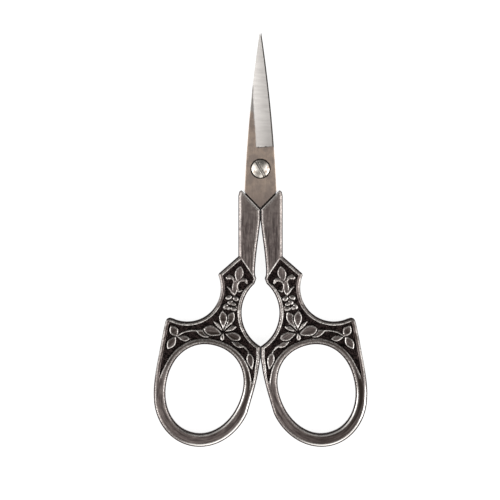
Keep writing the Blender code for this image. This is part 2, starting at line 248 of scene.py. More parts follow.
# Colours, as linear red, green and blue. A pair is the two ends of a mixture.
BLACKENING = ((0.005, 0.004, 0.004), (0.055, 0.038, 0.036))
ALLOY = ((0.07, 0.056, 0.054), (0.29, 0.245, 0.23))
SHANK_ALLOY = (0.27, 0.23, 0.21)
DULL_ALLOY = (0.09, 0.07, 0.068)
TARNISH = (0.04, 0.03, 0.025)
# Worn ridges, and bright lines beside the edges that are partly painted highlight
WORN_ALLOY = ((0.32, 0.295, 0.28), (0.75, 0.72, 0.69))
# Painted highlight, where the bright lines are strongest
HIGHLIGHT_ALLOY = (0.86, 0.83, 0.8)
SATIN = ((0.45, 0.355, 0.29), (0.56, 0.45, 0.375))
CLOUDED_SATIN = (0.31, 0.255, 0.23)
FOOT_SATIN = (0.24, 0.195, 0.18)
UPPER_SATIN = (0.41, 0.397, 0.384)
GROUND = ((0.46, 0.44, 0.425), (0.54, 0.52, 0.502))
GROUND_HEEL = (0.36, 0.34, 0.325)
# Painted shade beside the blades' backs
SPINE_SHADE = (0.12, 0.11, 0.105)
# Painted shade in the V and the counterbore
STEEL_SHADE = (0.03, 0.026, 0.025)
NICKEL = ((0.92, 0.87, 0.8), (0.36, 0.295, 0.245))
# Painted shade and a painted dark reflection on the screw
SCREW_SHADE = (0.05, 0.042, 0.036)
PAPER = (0.25, 0.25, 0.25, 1)
TENT = (1.0, 0.99, 0.975, 1)
WHITE = (1, 1, 1, 1)

# Where the finishes change: heights over the panel's floor, heights over the smoothed surface,
# how upright a face is, and heights over the pivot
FLOOR_BLACK = (0.03, 0.3)
RELIEF_WEAR = (0.12, 0.35)
RIDGE_WEAR = (0.01, 0.05)
FOLD_BLACK = (-0.05, -0.015)
WALL_FACING = (0.15, 0.4)
SHANK_LIGHTENS = (-17.0, -9.0)
FOOT_DARKENS = (-10.5, -3.0)
UPPER_LIGHTENS = (15.0, 16.2)
HEEL_DARKENS = (6.0, 16.0)

# Surroundings, in metres and watts
FLOOR_SIZE = 3.0
FLOOR_DROP = 0.00002
PAPER_GLOW = 0.88
LAMP_PLACE = (0.6, -0.1, 0.45)
LAMP_SIZE = 0.5
LAMP_POWER = 2.0

# The photograph's frame
FRAME_WIDTH = 136.65
FRAME_CENTRE = (-2.87, -22.19)
LENS = 200.0
SENSOR = 36.0
CLIP = (0.01, 10.0)


def pivot_place():
    """Where the pivot's axis crosses the middle plane, from the frame, in millimetres."""
    low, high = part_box("pivot_screw")
    handle_low, handle_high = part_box("right_handle")
    return Vector(((low.x + high.x) / 2, (low.y + high.y) / 2, (handle_low.z + handle_high.z) / 2)) / MM


PIVOT = pivot_place()


# Plane curves


def arc(centre, radius, start, end, count):
    angles = np.radians(np.linspace(start, end, count + 1))
    return np.column_stack((centre[0] + radius * np.cos(angles), centre[1] + radius * np.sin(angles)))


def circle(radius, count):
    return oval((0, 0), radius, radius, 0, 0, 360, count)


def oval(centre, half_width, half_height, tilt, start, end, count, egg=0.0, squareness=2.0):
    angles = np.radians(start + (end - start) * np.arange(count) / count)
    ahead = np.sin(angles)
    aside = np.cos(angles)
    v = half_height * np.sign(ahead) * np.abs(ahead) ** (2 / squareness)
    u = half_width * np.sign(aside) * np.abs(aside) ** (2 / squareness) * (1 + egg * v / half_height)
    lean = math.radians(tilt)
    return np.column_stack((centre[0] + u * math.cos(lean) - v * math.sin(lean),
                            centre[1] + u * math.sin(lean) + v * math.cos(lean)))


def through(points, per_span=4):
    """A smooth curve through the points, from the first to the last."""
    knots = [np.array(point, float) for point in points]
    knots = [2 * knots[0] - knots[1]] + knots + [2 * knots[-1] - knots[-2]]
    curve = []
    for before, start, end, after in zip(knots, knots[1:], knots[2:], knots[3:]):
        span = np.linalg.norm(end - start)
        leave = (end - before) * span / (np.linalg.norm(start - before) + span)
        arrive = (after - start) * span / (np.linalg.norm(after - end) + span)
        for t in np.arange(per_span) / per_span:
            bend = start * (2 * t ** 3 - 3 * t ** 2 + 1) + end * (3 * t ** 2 - 2 * t ** 3)
            curve.append(bend + leave * (t ** 3 - 2 * t ** 2 + t) + arrive * (t ** 3 - t ** 2))
    curve.append(knots[-2])
    return np.array(curve)


def blade_half_width(y):
    t = y / TIP_REACH
    straight = BLADE_ROOT_HALF_WIDTH + (BLADE_TIP_HALF_WIDTH - BLADE_ROOT_HALF_WIDTH) * t
    return straight + BLADE_BELLY * 4 * t * (1 - t)


RICASSO_HALF_WIDTH = blade_half_width(-RICASSO_REACH)
V_SLOPE = (V_DEPTH - RICASSO_REACH) / RICASSO_HALF_WIDTH


def shank_face(x):
    drop = JOINT_GAP * math.hypot(1, V_SLOPE)
    return -V_DEPTH - drop + x * V_SLOPE


def handle_outline():
    """The right handle's plan, which stays within the reach of its solid."""
    inside = HANDLE_GAP / 2
    tip = np.array((SHANK_OUTSIDE - SHANK_TIP_RADIUS, shank_face(SHANK_OUTSIDE - SHANK_TIP_RADIUS)))
    rounding = tip + np.array(SHANK_TIP_BEND) * SHANK_TIP_RADIUS
    shoulder = through([tip, rounding, (SHANK_OUTSIDE, tip[1] - SHANK_TIP_RADIUS * SHANK_TIP_FALL)])
    bay = arc(BAY_CENTRE, BAY_RADIUS, BAY_START_ANGLE, BAY_END_ANGLE, 60)
    outside = through([bay[-1], *HORN, *BOW_OUTSIDE], 7)
    lean = math.radians(BOW_TILT)
    bow_fall = math.hypot(BOW_HALF_WIDTH * math.sin(lean), BOW_HALF_HEIGHT * math.cos(lean))
    bow = oval((BOW_X, bow_fall - BOW_REACH), BOW_HALF_WIDTH, BOW_HALF_HEIGHT, BOW_TILT,
               BOW_START_ANGLE, BOW_END_ANGLE, 70)
    inner = through([*BOW_INSIDE, (inside, -KNUCKLE_BOTTOM)], 7)
    throat_start = -math.degrees(math.acos((inside - THROAT_CENTRE[0]) / THROAT_RADIUS))
    throat = arc(THROAT_CENTRE, THROAT_RADIUS, throat_start, THROAT_TOP_ANGLE, 50)
    run = LOZENGE_INNER_POINT[1] + SHANKS_PART_AT
    inner_edge = [(x, share * run - SHANKS_PART_AT)
                  for x, share in zip(SHANK_INNER_X, SHANK_INNER_SHARES)]
    shank = through([LOZENGE_INNER_POINT, *reversed(inner_edge), (inside, -SHANKS_PART_AT)], 5)
    loop = np.vstack((shoulder, [SHANK_FOOT, LOZENGE_OUTER_POINT], bay[:-1], outside[:-1], bow, inner,
                      throat, shank, [(inside, shank_face(inside))]))
    return np.minimum(loop, (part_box("right_handle")[1].x / MM - PIVOT.x, 0))


def finger_hole():
    return oval(HOLE_CENTRE, HOLE_HALF_WIDTH, HOLE_HALF_HEIGHT, HOLE_TILT, 0, 360, 150,
                HOLE_EGG, HOLE_SQUARENESS)


def border_oval():
    return oval(BORDER_CENTRE, BORDER_HALF_WIDTH, BORDER_HALF_HEIGHT, HOLE_TILT, 0, 360, 150,
                HOLE_EGG, HOLE_SQUARENESS)


def blade_outline(stations=40):
    """Back on the left, cutting edge on the right, the V that the shanks close on, and the tang."""
    heights = -RICASSO_REACH + (TIP_REACH + RICASSO_REACH) * np.arange(stations + 1) / stations
    back = [(-blade_half_width(y), y) for y in heights]
    edge = [(blade_half_width(y) - EDGE_SETBACK, y)
            for y in heights if y > GRIND_START + 2 * EDGE_SETBACK]
    side = [(blade_half_width(y), y) for y in heights if y < GRIND_START - EDGE_SETBACK]
    shoulder = blade_half_width(GRIND_START)
    side.append((shoulder, GRIND_START))
    edge.insert(0, (shoulder - EDGE_SETBACK, GRIND_START + EDGE_SETBACK))
    tang = [(TANG_ROOT_X, TANG_ROOT_X * V_SLOPE - V_DEPTH), (TANG_END_X[1], TANG_END),
            (TANG_END_X[0], TANG_END), (0.0, -SHANKS_PART_AT)]
    return np.array(back + edge[::-1] + side[::-1] + tang + [(0.0, -V_DEPTH)])


# Ornament, on the right handle. Each element is an outline and the line of its rib, and the
# elements of one group run into each other.


def leaf(base, tip, width, bend=0.0, fullness=1.0, bluntness=0.8, count=18):
    """A leaf from its base to its tip. A fullness over 1 puts its widest part nearer the tip."""
    base = np.array(base, float)
    axis = np.array(tip, float) - base
    normal = np.array((-axis[1], axis[0])) / np.linalg.norm(axis)
    t = np.linspace(0, 1, count)
    half = width / 2 * np.sin(math.pi * t ** fullness) ** bluntness
    middle = base + axis * t[:, None] + normal * (bend * 4 * t * (1 - t))[:, None]
    left = middle + normal * half[:, None]
    right = middle - normal * half[:, None]
    return np.vstack((left, right[-2:0:-1])), middle


def petal(centre, length, width, angle, count=20):
    return oval(centre, length / 2, width / 2, angle, 0, 360, count), None


def stroke(points, widths):
    """A band with round ends that follows a curve, with a width at each of its points."""
    line = through(points, 5)
    spread = np.interp(np.linspace(0, len(widths) - 1, len(line)), range(len(widths)), widths) / 2
    run = np.gradient(line, axis=0)
    normal = np.column_stack((-run[:, 1], run[:, 0])) / np.linalg.norm(run, axis=1)[:, None]
    ends = []
    for middle, radius, ahead in ((line[-1], spread[-1], run[-1]), (line[0], spread[0], -run[0])):
        heading = math.degrees(math.atan2(ahead[1], ahead[0]))
        ends.append(arc(middle, radius, heading + 90, heading - 90, 6)[1:-1])
    left = line + normal * spread[:, None]
    right = line - normal * spread[:, None]
    return np.vstack((left, ends[0], right[::-1], ends[1])), None


def fleur_de_lis():
    return [[
        stroke(((7.1, -31.4), (7.25, -30.2), (7.75, -29.45), (8.45, -29.25), (9.1, -29.45)),
               (0.8, 0.75, 1.0, 1.4, 1.05)),
        stroke(((3.75, -30.9), (4.1, -30.2), (4.95, -29.95), (5.9, -30.4), (6.4, -31.4), (6.3, -32.4),
                (5.85, -33.1), (5.15, -32.95)), (0.65, 1.05, 1.2, 1.0, 0.8, 0.7, 0.75, 0.6)),
        stroke(((9.1, -31.9), (8.35, -32.5), (7.75, -33.2), (7.15, -34.1)), (0.4, 0.8, 1.0, 0.7)),
        leaf((6.85, -29.9), (7.1, -34.4), 1.75, bluntness=0.6),
        leaf((6.5, -30.7), (5.4, -26.1), 2.5, 0.1, fullness=1.1, bluntness=0.85),
    ]]


def blossom():
    return [
        [petal((9.5, -37.25), 1.9, 1.35, -55), petal((8.9, -37.7), 1.5, 1.1, 20)],
        [petal((7.3, -37.9), 2.1, 1.35, 8), petal((6.4, -37.5), 1.2, 0.9, 60)],
        [petal((8.7, -34.85), 2.0, 1.35, -12)],
        [petal((6.75, -35.2), 1.9, 1.4, 20)],
        [petal((8.3, -36.15), 1.7, 1.3, -30), petal((7.4, -36.65), 1.7, 1.1, 15)],
    ]


def leaf_spray():
    return [
        [leaf((10.5, -43.9), (12.95, -41.2), 1.0, 0.15)],
        [leaf((9.3, -43.6), (7.5, -41.5), 0.65, bluntness=0.7)],
        [leaf((9.7, -44.2), (6.4, -42.7), 1.3, -0.1, fullness=1.2)],
        [leaf((9.9, -44.0), (7.2, -38.7), 2.45, -0.1, fullness=1.45, bluntness=0.9)],
        [leaf((10.2, -44.0), (10.35, -38.3), 2.35, 0.1, fullness=1.45, bluntness=0.9)],
        [leaf((9.7, -44.75), (5.3, -46.1), 2.45, fullness=1.35, bluntness=0.65)],
        [leaf((10.4, -45.0), (15.55, -43.3), 2.95, 0.1, fullness=1.4, bluntness=0.6)],
        [leaf((10.2, -44.4), (10.55, -46.7), 1.25, fullness=1.4, bluntness=0.6)],
    ]


def inner_spray():
    return [[
        leaf((8.2, -46.6), (4.4, -48.35), 1.5, 0.25, fullness=1.2),
        stroke(((5.2, -48.1), (4.5, -48.3), (3.9, -48.95), (3.3, -49.8), (2.8, -50.7)),
               (0.7, 0.7, 0.5, 0.5, 0.6)),
        leaf((3.2, -49.9), (2.3, -54.7), 2.1, fullness=0.75, bluntness=0.9),
    ]]


def outer_spray():
    return [[
        leaf((13.4, -45.3), (17.8, -43.75), 2.1, -0.1, fullness=0.8),
        stroke(((16.8, -43.95), (18.6, -43.85), (19.8, -44.0), (21.2, -44.4), (22.7, -45.3)),
               (0.45, 0.5, 0.5, 0.5, 0.6)),
        leaf((22.7, -45.5), (24.6, -42.4), 2.5, bluntness=0.9),
        leaf((22.9, -45.5), (19.25, -46.2), 1.65, 0.15, fullness=1.4, bluntness=0.7),
        leaf((23.1, -45.4), (25.5, -49.0), 2.4, bluntness=0.9),
    ]]


def ornament():
    groups = fleur_de_lis() + blossom() + inner_spray() + outer_spray() + leaf_spray()
    drop = np.array((0, -ORNAMENT_DROP))
    return [[(loop + drop, rib if rib is None else rib + drop) for loop, rib in group]
            for group in groups]


# Meshes


def resample(loop, pitch):
    """The loop's corners, with even steps of about a pitch between them."""
    points = []
    for start, end in zip(loop, np.roll(loop, -1, axis=0)):
        steps = max(1, round(np.linalg.norm(end - start) / pitch))
        points.extend(start + (end - start) * step / steps for step in range(steps))
    return np.array(points)


def distance(points, loop):
    """How far each point is inside a loop, and the direction in which that grows."""
    start = np.asarray(loop, float)
    end = np.roll(start, -1, axis=0)
    along = end - start
    length2 = np.maximum((along ** 2).sum(1), 1e-12)
    inside_by = np.empty(len(points))
    growing = np.empty((len(points), 2))
    batch = 3000
    for first in range(0, len(points), batch):
        here = points[first:first + batch, None, :]
        t = np.clip(((here - start) * along).sum(2) / length2, 0, 1)
        away = here - (start + t[..., None] * along)
        apart = (away ** 2).sum(2)
        nearest = apart.argmin(1)
        rows = np.arange(len(nearest))
        x = here[..., 0]
        y = here[..., 1]
        spans = (start[:, 1] > y) != (end[:, 1] > y)
        rise = np.where(end[:, 1] == start[:, 1], 1.0, end[:, 1] - start[:, 1])
        crossed = spans & (x < start[:, 0] + (y - start[:, 1]) * along[:, 0] / rise)
        sign = np.where(crossed.sum(1) % 2 == 1, 1.0, -1.0)
        gap = np.sqrt(apart[rows, nearest])
        inside_by[first:first + batch] = sign * gap
        direction = away[rows, nearest] / np.maximum(gap, 1e-9)[:, None]
        growing[first:first + batch] = direction * sign[:, None]
    return inside_by, growing


def near(points, loop, margin):
    """Which points lie in the loop's box or within a margin of it."""
    low = loop.min(0) - margin
    high = loop.max(0) + margin
    return np.flatnonzero(((points > low) & (points < high)).all(1))


def snapped(points, creases, pitch):
    """The points, with those that lie near a crease moved onto it, so that edges come out clean."""
    free = np.ones(len(points), bool)
    for loop, levels in creases:
        chosen = near(points, loop, 2 * pitch + max(0.0, -min(levels)))
        inside_by, growing = distance(points[chosen], loop)
        for level in levels:
            close = (np.abs(inside_by - level) < 0.5 * pitch) & free[chosen]
            rows = chosen[close]
            points[rows] -= growing[close] * (inside_by[close] - level)[:, None]
            free[rows] = False
    return points


def thinned(points, least):
    """The points without those that share a cell of a fine grid."""
    cells = np.round(points / least).astype(int)
    kept = np.unique(cells, axis=0, return_index=True)[1]
    return points[np.sort(kept)]


def triangles(loops, creases, pitch, seams=()):
    """Points and triangles that fill the first loop and leave out the others. No triangle crosses
    a seam. The grid keeps clear of both, in shares of the pitch."""
    rims = [resample(loop, pitch) for loop in loops]
    rings = rims + [resample(seam, pitch) for seam in seams]
    low = rims[0].min(0)
    high = rims[0].max(0)
    row_step = pitch * math.sqrt(3) / 2
    rows = np.arange(low[1], high[1], row_step)
    columns = np.arange(low[0], high[0], pitch)
    grid = np.array([(x + pitch / 2 * (row % 2), y) for row, y in enumerate(rows) for x in columns])
    grid = snapped(grid, creases, pitch)
    clear = np.ones(len(grid), bool)
    for number, loop in enumerate(loops):
        inside_by = distance(grid, loop)[0]
        clear &= (inside_by if number == 0 else -inside_by) > RIM_CLEARANCE * pitch
    for seam in seams:
        clear &= np.abs(distance(grid, seam)[0]) > SEAM_CLEARANCE * pitch
    grid = thinned(grid[clear], LEAST_STEP * pitch)
    corners = [Vector(point) for point in np.vstack(rings + [grid])]
    edges = []
    first = 0
    for ring in rings:
        count = len(ring)
        edges.extend((first + step, first + (step + 1) % count) for step in range(count))
        first += count
    points, _, faces, _, _, _ = delaunay_2d_cdt(corners, edges, [], 1, 1e-6)
    points = np.array(points)
    faces = np.array(faces)
    middles = points[faces].mean(1)
    kept = distance(middles, loops[0])[0] > 0
    for loop in loops[1:]:
        kept &= distance(middles, loop)[0] < 0
    return points, faces[kept]


def slab_mesh(name, points, faces, top, bottom):
    """A closed solid between two heights over the triangles, with upright walls on their rim."""
    count = len(points)
    upper = np.column_stack((points, top))
    lower = np.column_stack((points, bottom))
    pairs = np.vstack((faces[:, (0, 1)], faces[:, (1, 2)], faces[:, (2, 0)]))
    keys = pairs[:, 0].astype(np.int64) * count + pairs[:, 1]
    back_keys = pairs[:, 1].astype(np.int64) * count + pairs[:, 0]
    rim = pairs[~np.isin(keys, back_keys)]
    walls = np.column_stack((rim[:, 1], rim[:, 0], rim[:, 0] + count, rim[:, 1] + count))
    mesh = bpy.data.meshes.new(name)
    corners = (np.vstack((upper, lower)) + np.array(PIVOT)) * MM
    sides = faces.tolist() + (faces[:, ::-1] + count).tolist() + walls.tolist()
    mesh.from_pydata(corners.tolist(), [], sides)
    mesh.update()
    return mesh


def give(mesh, name, upper, lower=None):
    """Stores a number or a vector at each point of a slab's upper face, and the same or another at
    each of its lower face, for the material to read."""
    values = np.concatenate((upper, upper if lower is None else lower)).astype(np.float32)
    kind, key = ("FLOAT", "value") if values.ndim == 1 else ("FLOAT_VECTOR", "vector")
    mesh.attributes.new(name, kind, "POINT").data.foreach_set(key, values.ravel())


def stand_out(points, faces, heights):
    """How far each point stands above the smoothed surface round it."""
    pairs = np.vstack((faces[:, (0, 1)], faces[:, (1, 2)], faces[:, (2, 0)]))
    pairs = np.vstack((pairs, pairs[:, ::-1]))
    neighbours = np.maximum(np.bincount(pairs[:, 0], minlength=len(points)), 1)
    smooth = heights
    for _ in range(RIDGE_ROUNDS):
        total = np.bincount(pairs[:, 0], weights=smooth[pairs[:, 1]], minlength=len(points))
        smooth = blend(smooth, total / neighbours, RIDGE_SMOOTHING)
    return heights - smooth


def ease(value, low, high):
    """Smooth rise from 0 to 1 between two values."""
    t = np.clip((value - low) / (high - low), 0, 1)
    return t * t * (3 - 2 * t)


def band(value, start, full, fade, end):
    """Smooth rise from 0 to 1 between the first two numbers, and fall between the last two."""
    return ease(value, start, full) * (1 - ease(value, fade, end))


def blend(a, b, share):
    return a + (b - a) * share


def piece(name, mesh, body, node):
    made = bpy.data.objects.new(name, mesh)
    bpy.context.scene.collection.objects.link(made)
    mesh.shade_smooth()
    mesh.set_sharp_from_angle(angle=math.radians(SHARP_ANGLE))
    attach(made, body)
    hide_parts(node)
    return made


# Handles


def raised_height(inside_by, points, rib):
    """Height of an element over its own plan: leaves are dished and ribbed, bands are round."""
    if rib is None:
        crest = max(inside_by.max(), 2 * RELIEF_SPREAD)
        return ROUND_RELIEF * np.sqrt(1 - (1 - np.clip(inside_by / crest, 0, 1)) ** 2)
    shoulder = np.sqrt(1 - (1 - np.clip(inside_by / RELIEF_SHOULDER, 0, 1)) ** 2)
    dish_start = RELIEF_SHOULDER * RELIEF_DISH_START
    dish = ease(inside_by, dish_start, dish_start + RELIEF_DISH_WIDTH)
    dish *= ease(inside_by.max(), *RELIEF_DISHED)
    from_rib = np.abs(distance(points, np.vstack((rib, rib[::-1])))[0])
    rib_height = RIB_HEIGHT * (1 - ease(from_rib, 0, RIB_HALF_WIDTH)) * shoulder
    return RELIEF * shoulder - RELIEF_DISH * dish + rib_height


def relief_height(points, groups):
    """Height of the ornament over the panel's floor. Each group lies over those before it, with a
    narrow groove round it."""
    height = np.zeros(len(points))
    for group in groups:
        chosen = near(points, np.vstack([loop for loop, rib in group]), 2 * RELIEF_GROOVE)
        raised = np.zeros(len(chosen))
        reach = np.full(len(chosen), -np.inf)
        for loop, rib in group:
            inside_by = distance(points[chosen], loop)[0] + RELIEF_SPREAD
            own = np.where(inside_by > 0, raised_height(inside_by, points[chosen], rib), 0)
            raised = np.maximum(raised, own)
            reach = np.maximum(reach, inside_by)
        round_it = height[chosen] * ease(-reach, 0, RELIEF_GROOVE)
        height[chosen] = np.where(reach > 0, np.maximum(raised, round_it), round_it)
    return height


def beside(points, line):
    """How far points lie on the left of a line."""
    start, end = (np.array(point) for point in line)
    along = (end - start) / np.linalg.norm(end - start)
    away = points - start
    return along[0] * away[:, 1] - along[1] * away[:, 0]


class HandlePlan:
    """The right handle's points and triangles, and where each point lies from the edges, the
    panel and the shank."""

    def __init__(self):
        outline = handle_outline()
        hole = finger_hole()
        border = border_oval()
        self.groups = ornament()
        creases = [(outline, (EDGE_SHINE[0], PANEL_RIM + PANEL_WALL[0], PANEL_RIM + PANEL_WALL[1])),
                   (hole, (-EDGE_SHINE[0],)), (border, (-PANEL_WALL[0], -PANEL_WALL[1]))]
        creases += [(loop, (0.0, RELIEF_SHOULDER)) for group in self.groups for loop, rib in group]
        self.points, self.faces = triangles([outline, hole], creases, HANDLE_PITCH)
        self.x, self.y = self.points.T
        self.from_outline, growing = distance(self.points, outline)
        self.from_hole = -distance(self.points, hole)[0]
        self.from_border = -distance(self.points, border)[0]
        self.from_face = shank_face(0) + self.x * V_SLOPE - self.y
        self.edge = np.minimum(self.from_outline, self.from_hole)
        self.above_tips = -beside(self.points, PANEL_TIPS)
        self.on_shank = ease(self.y, *PANEL_TOP_HEIGHTS)
        self.on_bow = ease(-self.y, *BOW_HEIGHTS)
        self.at_face = ease(-growing[:, 1], *FACING_UP) * self.on_shank
        self.outer = ease(-growing[:, 0], *FACING_OUT) * (self.from_outline < self.from_hole)
        self.outer *= 1 - self.on_bow
        self.aside = np.abs(growing[:, 0])
        self.sunk = self.panel_reach()

    def panel_reach(self):
        """How far each point lies inside the rim of the sunk panel."""
        from_corner = np.hypot(*(self.points - LOZENGE_INNER_POINT).T)
        rim = PANEL_RIM - RIM_CORNER_CUT * (1 - ease(from_corner, *RIM_CORNER_REACH))
        rim -= RIM_TIP_CUT * ease(-self.y, *RIM_TIP_HEIGHTS)
        below_top = beside(self.points, PANEL_TOP_LINE)
        reach = np.minimum(np.minimum(self.from_outline - rim, self.from_border), below_top)
        reach -= PANEL_TIP_SQUEEZE * (1 - np.clip(self.above_tips / PANEL_TIP_LENGTH, 0, 1)) ** 2
        past_tips = np.minimum(reach, PAST_TIPS_SLOPE * self.above_tips - PAST_TIPS)
        return np.where(self.above_tips > 0, reach, past_tips)

    def height(self):
        """Height of the face over the middle plane: its edges, rim and panel with the ornament."""
        shank_share = ease(self.x, *SHANK_EDGE_FROM) * self.on_shank
        edge_width = blend(EDGE_WIDTH, SHANK_EDGE_WIDTH, shank_share)
        drop = EDGE_DROP * (1 - np.clip(self.edge / edge_width, 0, 1)) ** EDGE_POWER
        drop += CROWN * (1 - np.clip(self.edge / CROWN_WIDTH, 0, 1)) ** 2
        height = HALF_THICKNESS - drop * blend(1, FACE_EDGE_SHARE, self.at_face)
        height -= RIM_ROUND * (1 - np.clip(-self.sunk / RIM_ROUND_WIDTH, 0, 1)) ** 2
        height -= (PANEL_DEPTH - RIM_ROUND) * ease(self.sunk, *PANEL_WALL)
        carved = HALF_THICKNESS - PANEL_DEPTH + relief_height(self.points, self.groups)
        return np.where(self.sunk > 0, np.maximum(height, carved), height)

    def painted_shade(self):
        """How much painted shade each point gets along the edges."""
        # Shares left without painted shade; its band is narrower on the outer edge and on the bow
        clean = blend(ease(self.edge, *EDGE_SHADE), ease(self.edge, *OUTER_SHADE), self.outer)
        clean = blend(clean, ease(self.edge, *BOW_SHADE), self.on_bow)
        return 1 - blend(clean, ease(self.from_face, *FACE_SHADE), self.at_face)

    def wear_and_highlight(self):
        """How bright the lines beside the edges are at each point: partly wear, partly painted
        highlight.
        """
        line = blend(band(self.edge, *EDGE_SHINE), band(self.edge, *BOW_SHINE), self.on_bow)
        line *= 1 - SIDE_DIMMING * self.aside
        outer_line = OUTER_GLINT * (1 - ease(self.edge, *OUTER_SHINE_END))
        outer_line = blend(outer_line, SHANK_GLINT * band(self.edge, *SHANK_SHINE), self.on_shank)
        line = blend(line, outer_line, self.outer)
        # Painted highlight along the shank's slanting face
        face_line = FACE_GLINT * band(self.from_face, *FACE_SHINE) * self.at_face
        border_line = BORDER_GLINT * band(-self.from_border, *BORDER_SHINE)
        border_line *= ease(-self.y, *BORDER_HEIGHTS) * (self.above_tips > 0)
        return np.maximum(line, np.maximum(face_line, border_line))

    def ridge(self, height):
        """How far each point stands out, to wear bright, other than on the outer rim."""
        rim = self.outer * (1 - self.on_shank)
        rim *= 1 - ease(self.edge, PANEL_RIM, PANEL_RIM + OUTER_RIM_END)
        return stand_out(self.points, self.faces, height) * (1 - rim)

    def streaks(self):
        """Places for the polishing streaks: along the shank, and round the hole on the bow."""
        turn = np.arctan2(self.y - HOLE_CENTRE[1], self.x - HOLE_CENTRE[0])
        along_shank = np.column_stack((self.x, self.y * STREAK_STRETCH, np.zeros(len(self.x))))
        reach = HOLE_HALF_HEIGHT * STREAK_STRETCH
        round_hole = np.column_stack((self.from_hole, reach * np.cos(turn), reach * np.sin(turn)))
        return blend(along_shank, round_hole, ease(-self.y, *STREAK_TURN)[:, None])


def towards(points, centre_x, angle):
    """How much a point lies on the bow's side at an angle, from 0 opposite it to 1 there."""
    turn = np.arctan2(points[:, 1] - HOLE_CENTRE[1], points[:, 0] - centre_x)
    return 0.5 + 0.5 * np.cos(turn - math.radians(angle))


def make_handles(finish):
    plan = HandlePlan()
    height = plan.height()
    painted_shade = plan.painted_shade()
    wear_and_highlight = plan.wear_and_highlight()
    ridge = plan.ridge(height)
    streaks = plan.streaks()
    for name, node, body, side in (("handle_right", "right_handle", "front_half", 1),
                                   ("handle_left", "left_handle", "rear_half", -1)):
        points = plan.points * (side, 1)
        mesh = slab_mesh(name, points, plan.faces[:, ::side], height, -height)
        hole_x = HOLE_CENTRE[0] * side
        # Painted highlight: the bright lines on the bows are made stronger on the side towards
        # LIT_ANGLE
        lit = blend(*LIT_SHARE, towards(points, hole_x, LIT_ANGLE) ** 2)
        give(mesh, "relief", height - (HALF_THICKNESS - PANEL_DEPTH))
        give(mesh, "ridge", ridge)
        give(mesh, "painted_shade", painted_shade)
        give(mesh, "wear_and_highlight", wear_and_highlight * blend(1.0, lit, plan.on_bow))
        give(mesh, "bow", ease(-plan.y, *STREAK_TURN))
        give(mesh, "lighter_side", towards(points, hole_x, LIGHTER_SIDE_ANGLES[name]))
        give(mesh, "flow", streaks + (0, 0, side * STREAK_SHIFT))
        mesh.materials.append(finish)
        piece(name, mesh, body, node)


# Blades


def blade_surface(points, outline):
    """Height of the blade's outer face over its plan."""
    x, y = points.T
    from_outline = distance(points, outline)[0]
    height = BLADE_HIGH - BLADE_EASE_DROP * (1 - np.clip(from_outline / BLADE_EASE, 0, 1)) ** 2
    line = GRIND_LINE_START - GRIND_LINE_LEAN * (y - GRIND_START)
    edge = blade_half_width(np.clip(y, GRIND_START, TIP_REACH)) - EDGE_SETBACK
    share = np.clip((x - line) / (edge - line), 0, 1)
    ground = BLADE_HIGH - (BLADE_HIGH - BLADE_LOW - EDGE_THICKNESS) * share
    ground -= GRIND_HOLLOW * np.sin(math.pi * share)
    step_at = GRIND_START + GRIND_SLANT / 2 * (2 * share - 1)
    past_step = ease(y, step_at, step_at + GRIND_STEP_WIDTH)
    height = np.minimum(height, BLADE_HIGH + (ground - BLADE_HIGH) * past_step)
    return height, (share > 0) * past_step


def v_depth(points):
    """How far a point is below the slanting end of the ricasso."""
    x, y = points.T
    return np.abs(x) * V_SLOPE - V_DEPTH - y


def blade_creases(outline):
    """The lines that the blade's triangles follow: the bevel, the tang's root and the edges."""
    reach = GRIND_START + (TIP_REACH - GRIND_START) * np.linspace(0, 1, 20)
    line_x = GRIND_LINE_START - GRIND_LINE_LEAN * (reach - GRIND_START)
    far_right = 2 * BLADE_ROOT_HALF_WIDTH
    low = GRIND_START - GRIND_SLANT / 2
    high = GRIND_START + GRIND_SLANT / 2
    bevel = np.array([*zip(line_x, reach), (far_right, TIP_REACH + 1), (far_right, high),
                      (blade_half_width(GRIND_START) - EDGE_SETBACK, high), (GRIND_LINE_START, low)])
    root_x = TANG_ROOT_X + 1
    root = np.array([(root_x, root_x * V_SLOPE - V_DEPTH), (0.0, -V_DEPTH), (0.0, TANG_END - 1),
                     (root_x, TANG_END - 1)])
    return [(bevel, (0.0, GRIND_STEP_WIDTH)), (root, (0.0, 2 * TANG_STEP)), (outline, (BLADE_EASE,))]


